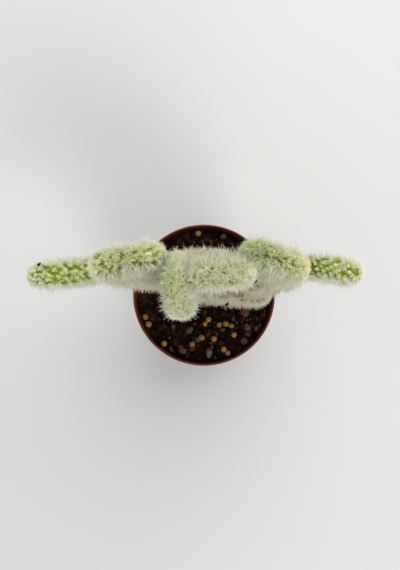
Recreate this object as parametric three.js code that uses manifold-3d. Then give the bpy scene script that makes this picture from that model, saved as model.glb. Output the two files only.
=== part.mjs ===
// A white bunny ears cactus in a small plastic nursery pot. Millimetres, +Z up.
// The origin is the middle of the pot's foot, on the surface that it stands on. The plant is a fan
// of flat pads along X. Its front pad leans out towards -Y and is turned edge-on to the rest.

import * as THREE from "three";
import { ConvexHull } from "three/addons/math/ConvexHull.js";
import { mergeVertices } from "three/addons/utils/BufferGeometryUtils.js";
import Module from "manifold-3d";

const wasm = await Module();
wasm.setup();

const GAP = 0.3; // clearance between two pieces that touch

const POT = {
  height: 68,
  rimRadius: 42.5, // outside, at the top edge
  bandFootRadius: 41.4, // outside, where the rim band starts
  wallTopRadius: 40.2, // outside of the wall, just under the rim band
  footRadius: 30,
  bandHeight: 9,
  wall: 1.2,
  lip: 0.5, // bevel of the edges
  floor: 1.4,
  sides: 48,
};

// A shallow channel runs round under the floor, and lets water out of the drain holes in it.
const CHANNEL = { inner: 13, outer: 24, depth: 1.4, slope: 0.8 };
const DRAIN = { holes: 6, radius: 3.4, ring: 18.5, sides: 16 };

const SOIL = { top: 62.4, crown: 1.0, wave: 0.9, sides: 36, rings: 7 };
const CRUMBS = { count: 34, smallest: 2.6, largest: 5.2 }; // of soil, strewn over its top

// Stones and bits of bark, half sunk in the soil.
const PEBBLES = [
  { x: 3.1, y: -34.5, width: 7.3, height: 4.6 },
  { x: 31.7, y: -20.0, width: 4.3, height: 3.2 },
  { x: -13.2, y: -33.6, width: 6.1, height: 3.2 },
  { x: 23.9, y: -28.0, width: 5.5, height: 3.0 },
  { x: -8.8, y: -20.8, width: 6.1, height: 3.2 },
  { x: 11.5, y: 35.3, width: 4.9, height: 3.0 },
  { x: -4.0, y: -26.8, width: 4.3, height: 3.0 },
  { x: 24.7, y: -9.9, width: 7.3, height: 3.0 },
  { x: 18.7, y: -13.7, width: 4.9, height: 3.0 },
  { x: 25.8, y: -20.2, width: 6.1, height: 2.8 },
  { x: -18.6, y: -19.3, width: 3.7, height: 2.6 },
  { x: -18.9, y: -32.3, width: 4.3, height: 2.6 },
  { x: 10.4, y: 30.6, width: 4.3, height: 2.8 },
];
const PEBBLE_DEPTH = 0.78; // of their width
const PRILL_WIDTH = 3.8; // a round pellet of fertiliser
const PRILLS = [
  [-23.9, -29.2],
  [-35.3, -13.3],
  [-33.3, -17.7],
  [2.8, -14.6],
  [1.0, -17.3],
  [9.4, -17.9],
  [13.1, -17.3],
  [16.3, -18.6],
  [18.0, -23.9],
  [6.0, -26.4],
  [-1.3, -25.5],
  [-7.1, -29.5],
  [14.3, -34.9],
  [11.8, -32.7],
  [-3.4, 37.5],
];

// The pads, lowest first. A pad grows from its parent's outline, `at` degrees round from the
// parent's tip, + towards its right edge, and `back` millimetres behind the edge's middle. It leans
// right, pitches to the front and is twisted about its own length, all in degrees. The lowest one
// stands at `root`, in the soil.
const PADS = [
  { name: "base", root: [7, 2.5, 34], lean: 3, pitch: 1, twist: 5, size: [58, 13, 74] },
  {
    name: "left_low", on: "base", at: -52, back: 2.3, lean: -47, pitch: -3.6, twist: 3,
    size: [38, 10.2, 50],
  },
  { name: "right_low", on: "base", at: 34, back: 2.3, lean: 24, pitch: -8, twist: -12, size: [35, 11, 42] },
  { name: "middle", on: "base", at: -16, lean: -9.5, pitch: -9.5, twist: -4, size: [36, 10, 46] },
  {
    name: "left_far", on: "left_low", at: -16, back: -1.1, lean: -65.5, pitch: 7.8, twist: 4,
    size: [28, 9.6, 40.6], flat: 4,
  },
  {
    name: "left_top", on: "left_low", at: 40, back: -1.5, lean: -2, pitch: -2, twist: -11,
    size: [35, 9.8, 41],
  },
  { name: "front", on: "middle", at: -25, back: 1, lean: 2, pitch: 43, twist: 86, size: [27, 10.8, 36] },
  {
    name: "centre_top", on: "middle", at: 36, back: -1.6, lean: 4, pitch: 17, twist: -5,
    size: [30, 10, 37],
  },
  {
    name: "right_top", on: "right_low", at: -34, back: 0.5, lean: -2, pitch: -4, twist: 19,
    size: [32, 9.4, 40],
  },
  {
    name: "right_far", on: "right_low", at: 30, back: -0.6, lean: 54, pitch: 9.2, twist: 2,
    size: [25, 9, 30.5], flat: 4,
  },
];
const SEAT = 1.6; // how far a pad's base reaches into its parent's edge

// A pad is widest above its middle. Its faces are nearly flat, up to its rounded tip and base by
// FLAT, unless it has a number of its own, and up to its rounded edges by EDGE.
const EGG = 0.22;
const FLAT = 8;
const EDGE = 8;
const TAPER = 0.08; // how much thinner a pad gets towards its tip
const ALMOST_END = 0.999; // a place this near to a pad's tip or base faces straight out of it

// Each areole carries a tuft of glochids, a low cone on the pad's skin. They stand in rows that
// are rowStep apart up the pad, and spacing apart in a row.
const TUFT = { radius: 1.8, height: 2.4, spread: 0.35, sides: 5 };
const AREOLE = { spacing: 5.1, closest: 3.9, rowStep: 4.1 };
const CLEAR = 0.8; // free space between a tuft and another pad

const ROW_STEPS = 96; // points that a row of areoles is measured by
const HALVINGS = 30; // steps in the search for a point of the skin

const COLOURS = { pot: 0x5f2f1c, soil: 0x2b1c13, pad: 0xb6bd90 };

const turn = (degrees) => THREE.MathUtils.degToRad(degrees);

// A repeatable draw of numbers from 0 to 1.
function draws(seed) {
  let state = seed;
  return () => {
    state = (state * 1664525 + 1013904223) % 4294967296;
    return state / 4294967296;
  };
}

// The solid inside a closed geometry.
function solidOf(geometry) {
  const bare = geometry.clone();
  bare.deleteAttribute("normal");
  bare.deleteAttribute("uv");
  const merged = mergeVertices(bare, 1e-4);
  const vertProperties = merged.attributes.position.array;
  const triVerts = new Uint32Array(merged.index.array);
  return new wasm.Manifold(new wasm.Mesh({ numProp: 3, vertProperties, triVerts }));
}

function geometryOf(solid) {
  const { vertProperties, triVerts } = solid.getMesh();
  const geometry = new THREE.BufferGeometry();
  geometry.setAttribute("position", new THREE.BufferAttribute(vertProperties, 3));
  geometry.setIndex(new THREE.BufferAttribute(triVerts, 1));
  geometry.computeVertexNormals();
  return geometry;
}

// A closed profile of [radius, height] points turned about the Z axis.
function turned(profile, sides) {
  const points = profile.map(([radius, height]) => new THREE.Vector2(radius, height));
  return new THREE.LatheGeometry(points, sides).rotateX(Math.PI / 2);
}

// The pot's wall at a height: its outside radius.
function wallRadius(height) {
  const share = height / (POT.height - POT.bandHeight);
  return POT.footRadius + (POT.wallTopRadius - POT.footRadius) * share;
}

function makePot() {
  const { height, rimRadius, bandFootRadius, wallTopRadius, footRadius, wall, lip, floor } = POT;
  const bandFoot = height - POT.bandHeight;
  const { inner, outer, depth, slope } = CHANNEL;
  const profile = [
    [0, 0],
    [inner, 0],
    [inner + slope, depth],
    [outer - slope, depth],
    [outer, 0],
    [footRadius - lip, 0],
    [wallRadius(lip), lip],
    [wallTopRadius, bandFoot],
    [bandFootRadius, bandFoot + lip],
    [rimRadius, height - lip],
    [rimRadius - lip, height],
    [rimRadius - wall, height - lip],
    [bandFootRadius - wall, bandFoot + wall],
    [wallTopRadius - wall, bandFoot - lip],
    [wallRadius(floor + depth) - wall, floor + depth],
    [inner + slope, floor + depth],
    [inner, floor],
    [0, floor],
  ];
  let pot = solidOf(turned(profile, POT.sides));
  for (let i = 0; i < DRAIN.holes; i++) {
    const angle = turn(((i + 0.5) * 360) / DRAIN.holes);
    const drill = new THREE.CylinderGeometry(DRAIN.radius, DRAIN.radius, 6 * floor, DRAIN.sides);
    drill.rotateX(Math.PI / 2);
    drill.translate(DRAIN.ring * Math.cos(angle), DRAIN.ring * Math.sin(angle), floor);
    pot = pot.subtract(solidOf(drill));
  }
  return geometryOf(pot);
}

// The height of the soil's crumbly top: a low crown with waves of three sizes on it.
function soilHeight(x, y) {
  const crown = SOIL.crown * (1 - (x * x + y * y) / (POT.rimRadius * POT.rimRadius));
  const waves =
    Math.sin(0.31 * x + 1.3) * Math.cos(0.27 * y - 0.4) +
    0.8 * Math.sin(0.83 * x - 0.55 * y + 0.7) +
    0.8 * Math.cos(0.62 * x + 0.91 * y - 1.1);
  return SOIL.top + crown + (SOIL.wave * waves) / 2;
}

// A rounded lump with few faces, half sunk in the soil. Its place also sets how it is turned.
function lump(x, y, [width, depth, height], detail) {
  const shape = new THREE.IcosahedronGeometry(0.5, detail);
  shape.rotateX(x).rotateY(y);
  shape.scale(width, depth, height);
  shape.rotateZ(x + y);
  shape.translate(x, y, soilHeight(x, y));
  return solidOf(shape);
}

function makeSoil(baseHole) {
  const bottom = POT.floor * 2 + GAP;
  const topRadius = POT.bandFootRadius - POT.wall - GAP;
  const profile = [
    [0, bottom],
    [wallRadius(bottom) - POT.wall - GAP, bottom],
    [POT.wallTopRadius - POT.wall - GAP, POT.height - POT.bandHeight - POT.lip],
  ];
  for (let ring = SOIL.rings; ring >= 0; ring--) {
    profile.push([(topRadius * ring) / SOIL.rings, SOIL.top]);
  }
  const geometry = turned(profile, SOIL.sides);
  const place = geometry.attributes.position;
  for (let i = 0; i < place.count; i++) {
    const inside = Math.hypot(place.getX(i), place.getY(i)) < topRadius - GAP;
    if (inside && place.getZ(i) > SOIL.top - GAP) {
      place.setZ(i, soilHeight(place.getX(i), place.getY(i)));
    }
  }
  let soil = solidOf(geometry);
  for (const { x, y, width, height } of PEBBLES) {
    soil = soil.add(lump(x, y, [width, PEBBLE_DEPTH * width, height], 1));
  }
  for (const [x, y] of PRILLS) {
    soil = soil.add(lump(x, y, [PRILL_WIDTH, PRILL_WIDTH, PRILL_WIDTH], 0));
  }
  const draw = draws(CRUMBS.count);
  for (let i = 0; i < CRUMBS.count; i++) {
    const width = CRUMBS.smallest + (CRUMBS.largest - CRUMBS.smallest) * draw() ** 2;
    const radius = (topRadius - width) * Math.sqrt(draw());
    const angle = 2 * Math.PI * draw();
    const size = [width, PEBBLE_DEPTH * width, width / 2];
    soil = soil.add(lump(radius * Math.cos(angle), radius * Math.sin(angle), size, 0));
  }
  // A crumb that the hole cuts off lies loose, so only the largest body is kept.
  const bodies = soil.subtract(baseHole).decompose();
  bodies.sort((a, b) => b.volume() - a.volume());
  return geometryOf(bodies[0]);
}

// A pad in its own frame: base at the origin, tip up Z, right edge at +X and back face at +Y.
// A place along it is s, from -1 at the base to 1 at the tip.
class Pad {
  constructor({ name, on, at, back = 0, root, lean, pitch, twist, size, flat = FLAT }, pads) {
    this.name = name;
    this.parent = pads.find((pad) => pad.name === on);
    [this.width, this.thick, this.length] = size;
    this.flat = flat;
    this.group = new THREE.Group();
    this.group.rotation.set(turn(pitch), turn(lean), turn(-twist), "YXZ");
    const seat = this.parent ? this.parent.rimPoint(at, back) : new THREE.Vector3(...root);
    this.group.position.copy(seat);
    this.group.updateMatrixWorld();
  }

  // A copy that is larger all round by `by`.
  grown(by) {
    const copy = Object.create(this);
    copy.width += 2 * by;
    copy.thick += 2 * by;
    copy.length += 2 * by;
    return copy;
  }

  halfWidth(s) {
    const widest = (Math.sqrt(1 + 8 * EGG * EGG) - 1) / (4 * EGG);
    const shape = (place) => Math.sqrt(1 - place * place) * (1 + EGG * place);
    return ((this.width / 2) * shape(s)) / shape(widest);
  }

  halfThick(s) {
    return (this.thick / 2) * Math.sqrt(1 - s ** this.flat) * (1 - TAPER * s);
  }

  // The point at place s and at angle b round the pad, from its right edge over its back face.
  point(s, b) {
    const x = this.halfWidth(s) * Math.cos(b);
    const y = this.halfThick(s) * Math.sign(Math.sin(b)) * Math.sqrt(1 - Math.cos(b) ** EDGE);
    return new THREE.Vector3(x, y, (this.length * (s + 1)) / 2);
  }

  // Below 0 inside the pad, 0 on its skin and above 0 outside it.
  side(p) {
    const s = (2 * p.z) / this.length - 1;
    if (Math.abs(s) >= 1) {
      return 1;
    }
    return (p.x / this.halfWidth(s)) ** EDGE + (p.y / this.halfThick(s)) ** 2 - 1;
  }

  // The point of the skin straight out from the pad's middle through p.
  skin(p) {
    const middle = new THREE.Vector3(0, 0, this.length / 2);
    const way = p.clone().sub(middle).normalize();
    let near = 0;
    let far = this.length;
    for (let i = 0; i < HALVINGS; i++) {
      const reach = (near + far) / 2;
      if (this.side(way.clone().multiplyScalar(reach).add(middle)) < 0) {
        near = reach;
      } else {
        far = reach;
      }
    }
    return way.multiplyScalar(near).add(middle);
  }

  // The outward direction at a point of the skin.
  normal(p) {
    const s = (2 * p.z) / this.length - 1;
    if (Math.abs(s) > ALMOST_END) {
      return new THREE.Vector3(0, 0, Math.sign(s));
    }
    const across = p.x / this.halfWidth(s);
    const through = p.y / this.halfThick(s);
    const widening = -s / (1 - s * s) + EGG / (1 + EGG * s);
    const rounding = ((this.flat / 2) * s ** (this.flat - 1)) / (1 - s ** this.flat);
    const thinning = rounding + TAPER / (1 - TAPER * s);
    const along = EDGE * across ** EDGE * widening - 2 * through ** 2 * thinning;
    return new THREE.Vector3(
      (EDGE * across ** (EDGE - 1)) / this.halfWidth(s),
      (2 * through) / this.halfThick(s),
      (-along * 2) / this.length,
    ).normalize();
  }

  // A point on the pad's outline, in the part's frame, set in by SEAT and moved back.
  rimPoint(at, back) {
    const s = Math.cos(turn(at));
    const p = new THREE.Vector3(Math.sign(at) * this.halfWidth(s), 0, (this.length * (s + 1)) / 2);
    const middle = new THREE.Vector3(0, 0, this.length / 2);
    p.addScaledVector(middle.sub(p).normalize(), SEAT);
    p.y = back;
    return this.group.localToWorld(p);
  }

  // Is a point of the part's frame within `reach` of this pad?
  holds(point, reach) {
    const p = this.group.worldToLocal(point.clone());
    p.z += reach;
    return this.grown(reach).side(p) < 0;
  }

  // The areoles, from the tip down in staggered rows, none closer to another than the spacing
  // allows. A row runs level across the faces and bends along the outline at the edges.
  areoles() {
    const rows = Math.round(this.length / AREOLE.rowStep);
    const found = [];
    for (let row = 0; row <= rows; row++) {
      const t = 1 - row / rows;
      const curve = [];
      for (let step = 0; step <= ROW_STEPS; step++) {
        const b = (step / ROW_STEPS) * 2 * Math.PI;
        const level = 0.5 * Math.sin(b) ** 2;
        const s = level * (2 * t - 1) - (1 - level) * Math.cos(Math.PI * t);
        curve.push(this.point(s, b));
      }
      const line = new THREE.CatmullRomCurve3(curve);
      const count = Math.max(1, Math.round(line.getLength() / AREOLE.spacing));
      for (let i = 0; i < count; i++) {
        const p = this.skin(line.getPointAt((i + (row % 2) / 2) / count));
        if (found.every((other) => other.distanceTo(p) > AREOLE.closest)) {
          found.push(p);
        }
      }
    }
    return found;
  }

  // Has an areole room for its tuft, clear of the soil and of the other pads?
  hasRoom(p, pads) {
    const root = this.group.localToWorld(p.clone());
    const tip = p.clone().addScaledVector(this.normal(p), TUFT.height * (1 + TUFT.spread / 2));
    this.group.localToWorld(tip);
    if (root.z < SOIL.top + 3 * TUFT.radius) {
      return false;
    }
    return pads.every((other) => {
      if (other === this) {
        return true;
      }
      const tipReach = CLEAR + (pads.indexOf(other) < pads.indexOf(this) ? TUFT.height : 0);
      return !other.holds(root, TUFT.radius + CLEAR) && !other.holds(tip, tipReach);
    });
  }

  // Lays out the skin's corners once: a ring and a raised middle for each tuft, and a single
  // point where an areole stays bare.
  layOut(pads) {
    const draw = draws(pads.indexOf(this) + 1);
    this.corners = [];
    for (const p of this.areoles()) {
      const normal = this.normal(p);
      const across = new THREE.Vector3(0, 0, 1).cross(normal);
      if (across.length() < 0.1) {
        across.set(1, 0, 0);
      }
      across.normalize();
      const lift = TUFT.height * (1 + TUFT.spread * (draw() - 0.5));
      if (!this.hasRoom(p, pads)) {
        this.corners.push({ p, lift: 0 });
        continue;
      }
      this.corners.push({ p, lift });
      const start = draw() * 2 * Math.PI;
      for (let i = 0; i < TUFT.sides; i++) {
        const spoke = across.clone().applyAxisAngle(normal, start + (i / TUFT.sides) * 2 * Math.PI);
        this.corners.push({ p: this.skin(p.clone().addScaledVector(spoke, TUFT.radius)), lift: 0 });
      }
    }
  }

  // The pad's closed surface, moved out by `by`, with or without its tufts. The corners are joined
  // as on a ball that the pad is swollen to, so that each tuft keeps its own ring round it.
  surface(by, tufted) {
    const ball = this.corners.map(({ p }) => {
      const z = (2 * p.z) / this.length - 1;
      return new THREE.Vector3((2 * p.x) / this.width, p.y / this.thick, z).normalize();
    });
    const number = new Map(ball.map((point, i) => [point, i]));
    const index = [];
    for (const face of new ConvexHull().setFromPoints(ball).faces) {
      for (let corner = 0; corner < 3; corner++) {
        index.push(number.get(face.getEdge(corner).head().point));
      }
    }
    const places = this.corners.map(({ p, lift }) => {
      return p.clone().addScaledVector(this.normal(p), by + (tufted ? lift : 0));
    });
    const geometry = new THREE.BufferGeometry().setFromPoints(places);
    geometry.setIndex(index);
    return geometry;
  }

  // The bare pad grown by GAP, in the frame of another group, to seat what touches it.
  cutter(group) {
    const toGroup = group.matrixWorld.clone().invert().multiply(this.group.matrixWorld);
    return solidOf(this.surface(GAP, false).applyMatrix4(toGroup));
  }

  // The pad with its tufts, its base cut to sit on its parent's edge.
  geometry() {
    const whole = solidOf(this.surface(0, true));
    return geometryOf(this.parent ? whole.subtract(this.parent.cutter(this.group)) : whole);
  }
}

function named(name, geometry, color, roughness) {
  const material = new THREE.MeshStandardMaterial({ color, roughness, metalness: 0 });
  const mesh = new THREE.Mesh(geometry, material);
  mesh.name = name;
  return mesh;
}

const pads = [];
for (const pad of PADS) {
  pads.push(new Pad(pad, pads));
}
for (const pad of pads) {
  pad.layOut(pads);
}

const plant = new THREE.Group();
for (const pad of pads) {
  pad.group.add(named(`pad_${pad.name}`, pad.geometry(), COLOURS.pad, 0.85));
  plant.add(pad.group);
}

const group = new THREE.Group();
group.add(named("pot", makePot(), COLOURS.pot, 0.55));
group.add(named("soil", makeSoil(pads[0].cutter(group)), COLOURS.soil, 0.95));
group.add(plant);

export default group;
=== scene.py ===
"""The looks of a white bunny ears cactus in a small plastic nursery pot, in metres, +Z up.

The origin is the middle of the pot's foot, on the surface that it stands on. The plant is a fan of
flat pads along X. The pot, the soil and the pads have the sizes and places of the solids that they
stand for."""

import math

import bmesh
import bpy
import numpy as np
from mathutils import Matrix, Vector, noise
from mathutils.kdtree import KDTree


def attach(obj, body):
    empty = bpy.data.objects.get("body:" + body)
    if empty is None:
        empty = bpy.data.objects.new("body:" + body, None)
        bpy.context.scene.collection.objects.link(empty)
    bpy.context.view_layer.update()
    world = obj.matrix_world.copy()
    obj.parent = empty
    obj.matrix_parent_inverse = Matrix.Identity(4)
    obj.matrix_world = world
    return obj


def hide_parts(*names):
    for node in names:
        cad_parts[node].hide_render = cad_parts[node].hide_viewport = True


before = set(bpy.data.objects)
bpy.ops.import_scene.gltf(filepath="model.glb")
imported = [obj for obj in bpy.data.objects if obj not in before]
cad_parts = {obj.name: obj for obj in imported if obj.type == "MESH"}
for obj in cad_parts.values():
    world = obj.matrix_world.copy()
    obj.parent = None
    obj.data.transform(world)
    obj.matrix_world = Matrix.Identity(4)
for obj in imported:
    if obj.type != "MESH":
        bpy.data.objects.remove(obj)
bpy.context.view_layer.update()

# The pot
POT_HEIGHT = 0.068
RIM_RADIUS = 0.0425  # outside, at the top edge
BAND_HEIGHT = 0.009
BAND_FOOT_RADIUS = 0.0414  # outside, where the rim band starts
BAND_STEPS = 5  # down the inside of the rim band
WALL_TOP_RADIUS = 0.0402  # outside of the wall, just under the rim band
FOOT_RADIUS = 0.030
WALL = 0.0012
LIP = 0.0005  # roundness of the edges
FLOOR = 0.0014
CHANNEL_INNER = 0.013  # the channel round under the floor, which the drain holes are in
CHANNEL_OUTER = 0.024
CHANNEL_SLOPE = 0.0008
DRAIN_HOLES = 6
DRAIN_RADIUS = 0.0034
DRAIN_RING = 0.0185
DRAIN_SIDES = 40
POT_SIDES = 192
ARC_STEPS = 5  # points along each rounded edge of the pot's profile
ARC_ROOM = 0.45  # the most that a rounding takes of a corner's shorter side
STRAIGHT = 1.5  # a corner whose half angle is this wide, in radians, isn't rounded
CREASE = 35  # degrees between two faces from which the edge between them is sharp
INNER_SIDE = 0.4  # depth in the wall from which a point is on its inside, as a share of it
WALL_SHADE_FROM = 0.0010  # where the painted shade inside the wall starts, below the rim
# how far down that painted shade deepens to its darkest
WALL_SHADE_OVER = 0.0045

# The soil
SOIL_TOP = 0.0624
SOIL_GAP = 0.0003  # between the soil and the pot's wall
SOIL_RADIUS = BAND_FOOT_RADIUS - WALL - SOIL_GAP  # of its top
SOIL_CROWN = 0.0010
SOIL_WAVE = 0.0009
SOIL_BUMPS = [(0.0007, 0.0035), (0.0004, 0.0013)]  # their height and width
SOIL_SIDES = 210
SOIL_RINGS = 66

# Crumbs of peat and flakes of bark. Two numbers are the least and the most.
CRUMBS = 700
CRUMB_WIDTH = 0.0011  # of the narrowest
CRUMB_GROWTH = 0.0036  # how much wider the widest are
CRUMB_SHAPE = (0.55, 1.0)  # its depth and its height, as shares of its width
CRUMB_RISE = (0.0, 0.3)  # of its middle out of the soil, as a share of its width
CRUMB_EDGE = 0.001  # how far they keep from the soil's rim
CHIPS = 46
CHIP_LENGTH = (0.003, 0.007)
CHIP_WIDTH = (0.25, 0.5)  # as a share of its length
CHIP_THICKNESS = 0.16
CHIP_RISE = 0.0004
CHIP_EDGE = 0.003
LUMP_WAVES = 4  # that make the skin of a crumb or a stone uneven
LUMP_WAVE = 1.6  # how tight these are
LUMP_TILT = 0.5  # how far a lump is tilted at random, in radians

# Round pellets of fertiliser, by place, with how yellow each is
PRILL_WIDTH = 0.0038
PRILL_SIZE = (0.95, 1.1)  # as a share of that
PRILL_RISE = 0.0005
PRILLS = [
    (-0.0239, -0.0292, 1.0),
    (-0.0353, -0.0133, 0.5),
    (-0.0333, -0.0177, 0.4),
    (0.0028, -0.0146, 0.7),
    (0.0010, -0.0173, 0.8),
    (0.0094, -0.0179, 0.3),
    (0.0131, -0.0173, 0.6),
    (0.0163, -0.0186, 0.4),
    (0.0180, -0.0239, 0.5),
    (0.0060, -0.0264, 0.4),
    (-0.0013, -0.0255, 0.3),
    (-0.0071, -0.0295, 0.1),
    (0.0143, -0.0349, 0.2),
    (0.0118, -0.0327, 0.6),
    (-0.0034, 0.0375, 0.5),
]

# Stones and bits of bark, half sunk in the soil, by place, width, height and tone
PEBBLE_DEPTH = 0.78  # of their width
PEBBLES = [
    (0.0031, -0.0345, 0.0073, 0.0046, 0.9),
    (0.0317, -0.0200, 0.0043, 0.0032, 0.0),
    (-0.0132, -0.0336, 0.0061, 0.0032, 0.1),
    (0.0239, -0.0280, 0.0055, 0.0030, 0.15),
    (-0.0088, -0.0208, 0.0061, 0.0032, 0.6),
    (0.0115, 0.0353, 0.0049, 0.0030, 0.4),
    (-0.0040, -0.0268, 0.0043, 0.0030, 0.5),
    (0.0247, -0.0099, 0.0073, 0.0030, 0.0),
    (0.0187, -0.0137, 0.0049, 0.0030, 0.5),
    (0.0258, -0.0202, 0.0061, 0.0028, 0.2),
    (-0.0186, -0.0193, 0.0037, 0.0026, 0.05),
    (-0.0189, -0.0323, 0.0043, 0.0026, 0.1),
    (0.0104, 0.0306, 0.0043, 0.0028, 0.2),
]

# The skin of a pad, and where the areoles on it sit
SEAT = 0.0016  # how far a pad's base reaches into its parent's edge
EGG = 0.22  # a pad is widest above its middle
FLAT = 8  # its faces are nearly flat up to its rounded tip and base, unless it has its own number
EDGE = 8  # and up to its rounded edges
TAPER = 0.08  # how much thinner it gets towards its tip
ALMOST_END = 0.999  # a place this near to a pad's tip or base faces straight out of it
HALVINGS = 24  # steps in the search for a point of the skin
SKIN_CELL = 0.0012
MOUND = 0.00030  # how far the skin swells round each areole
MOUND_RADIUS = 0.0021
FELT_FADE = 1.4  # over how many radii of an areole the felt on it fades
FELT_REACH = 1.25  # how many times that is from its middle to where the felt ends
SKIN_PLACES = 9000  # random places on the skin, among which the areoles are chosen
AREOLE_STRAY = 0.12  # how far they then stray, as a share of their spacing
SOIL_ROOM = 0.001  # height of the lowest tufts above the soil
PAD_ROOM = 0.0002  # between a tuft's foot and the other pads
BARE_LEAST = 0.4  # the part of a pad's share of bare areoles that its tip has
BARE_RISE = 6  # how soon below its tip it has all of that share

# The glochids: the fine barbed hairs that stand in a tuft on each areole, gathered in bundles
BUNDLE_DENSITY = 6.4e6  # on a square metre of a pad's edge
THINNED = 0.55  # share of the bundles that its faces lack
FACE_START = 0.55  # how far to the front or back the skin looks where the face starts
FACE_RISE = 2.6  # how soon it is all face
HAIRS = 2  # in a bundle
HAIR_POINTS = 4
HAIR_LENGTH = 0.0046
EDGE_LENGTH = 0.58  # of the hairs along a pad's edge, as a share of those on its faces
HAIR_ROOT = 0.00029  # thickness
HAIR_TIP = 0.00013
ROOT_DEPTH = 0.0001  # under the skin
TUFT_FOOT = 0.0006  # radius of the areole that they stand on
ROOT_STRAY = 0.35 * TUFT_FOOT
TUFT_CROWDING = 0.56  # from 0.5, even all over, to 1, crowded in its middle
TUFT_LEAN = 0.11  # how far a tuft leans towards the pad's tip, as a share of its height
TUFT_STRAY = 0.16  # how much tufts differ in length
LEAN_STRAY = 0.10  # how much tufts differ in that
LOW_STRAY = 0.10  # how much bundles differ in how low they lie
LOWEST = 1.15  # as a share of the tuft's spread
SPIN_STRAY = 0.30  # how far they stray round the tuft, in radians
SHORTENED = 0.35  # how much shorter its lowest hairs are
BUNDLE_REACH = (0.65, 1.2)  # least and most, as a share of the tuft's
HAIR_REACH = (0.75, 1.2)  # likewise, as a share of its bundle's
BUNDLE_WIDTH = 0.00024  # spread of the hairs' tips in a bundle
WHITE_START = 0.35  # how far to the front or back the skin looks where its tufts turn white
WHITE_RISE = 2.8  # how soon they are all white
WHITE_STRAY = 0.15  # how much tufts differ in that
AGE_AND_SHADE_TINT = 0.85  # how brown the hairs at a pad's base are, from age and from painted shade at its joint
AGE_AND_SHADE_LEAST = 0.25  # the share of that on a pad of age 0
AGE_AND_SHADE_REACH = 0.30  # share of its length over which that fades
AGE_AND_SHADE_GROWTH = 0.45  # and how much further on the oldest
HAIR_GLOW = (0.0004, 0.0004, 0.0003)  # how deep light goes into a hair, by colour
GOLDEN_ANGLE = math.pi * (3 - math.sqrt(5))

# The pads, lowest first. A pad grows from its parent's outline, `at` degrees round from the
# parent's tip and `back` behind the middle of its edge. Its turns are in degrees, its size is
# width, thickness and length, and the oldest has an age of 1. The other numbers say how its hairs
# grow. `fluff` is their length, `fine` their thickness and `dense` their number, as shares of the
# usual ones, and `edge` is the length of those along its edge. `spacing` is between its areoles.
# A tuft opens `spread` degrees from its middle. `thin_front` and `thin_back` are the shares of the
# bundles that its faces lack. `white` is how white the hairs are, and `bare` is the share of its
# areoles that have no tuft.
PADS = [
    dict(name="base", root=(0.007, 0.0025, 0.034), lean=3, pitch=1, twist=5,
         size=(0.058, 0.013, 0.074), age=1.0,
         fluff=0.68, spacing=0.0022, spread=50, white=0.3),
    dict(name="left_low", on="base", at=-52, back=0.0023, lean=-47, pitch=-3.6, twist=3,
         size=(0.038, 0.0102, 0.050), age=0.8,
         fluff=0.85, spacing=0.0023, spread=46, white=0.3),
    dict(name="right_low", on="base", at=34, back=0.0023, lean=24, pitch=-8, twist=-12,
         size=(0.035, 0.011, 0.042), age=0.7,
         fluff=0.85, spacing=0.0023, spread=46, white=0.3),
    dict(name="middle", on="base", at=-16, lean=-9.5, pitch=-9.5, twist=-4,
         size=(0.036, 0.01, 0.046), age=0.5,
         fluff=0.86, fine=0.75, dense=1.5, spacing=0.0022, spread=40, white=0.8),
    dict(name="left_far", on="left_low", at=-16, back=-0.0011, lean=-65.5, pitch=7.8, twist=4,
         size=(0.028, 0.0096, 0.0406), flat=4, age=0.0,
         fluff=0.82, edge=0.5, spacing=0.002, spread=34, bare=0.06),
    dict(name="left_top", on="left_low", at=40, back=-0.0015, lean=-2, pitch=-2, twist=-11,
         size=(0.035, 0.0098, 0.041), age=0.2,
         fluff=0.95, fine=0.92, dense=1.1, spacing=0.0018, spread=42),
    dict(name="front", on="middle", at=-25, back=0.001, lean=2, pitch=43, twist=86,
         size=(0.027, 0.0108, 0.036), age=0.3,
         fluff=0.95, fine=0.75, dense=1.6, edge=0.5, spacing=0.0014, spread=50,
         thin_front=0.9, thin_back=0.35, white=0.3),
    dict(name="centre_top", on="middle", at=36, back=-0.0016, lean=4, pitch=17, twist=-5,
         size=(0.030, 0.01, 0.037), age=0.3,
         fluff=0.95, fine=0.75, dense=1.6, edge=0.5, spacing=0.0014, spread=50,
         thin_back=0.78, white=0.35),
    dict(name="right_top", on="right_low", at=-34, back=0.0005, lean=-2, pitch=-4, twist=19,
         size=(0.032, 0.0094, 0.040), age=0.2,
         fluff=0.95, fine=0.92, dense=1.1, spacing=0.0017, spread=42, bare=0.04),
    dict(name="right_far", on="right_low", at=30, back=-0.0006, lean=54, pitch=9.2, twist=2,
         size=(0.025, 0.009, 0.0305), flat=4, age=0.0,
         fluff=0.78, edge=0.5, spacing=0.002, spread=35, bare=0.06),
]

# Spots on the pads start with a place along the pad, from -1 at its base to 1 at its tip, and an
# angle round it in degrees, from its right edge over its back. In these ones no tuft grows, and
# the green skin shows.
BARE_RADIUS = 0.8  # as a share of the spacing of the pad's areoles
BARE_SPOTS = {
    "left_far": [(0.42, 7), (-0.03, 10), (-0.14, -15), (0.54, -24), (0.28, -34), (0.22, -7),
                 (0.01, -39)],
    "left_top": [(0.83, 0), (0.97, -20), (0.87, -38), (0.89, 180), (0.75, -152), (0.74, -120),
                 (0.75, 154), (0.96, 162)],
    "centre_top": [(0.72, 178), (0.50, -165)],
    "right_top": [(0.73, 176), (0.97, 172), (0.99, 118), (0.72, -112), (-0.53, -108), (0.97, 130),
                  (0.92, -12), (0.86, 160)],
    "right_far": [(0.09, 170), (0.36, 178), (-0.17, -161), (0.50, 158)],
}
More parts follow.
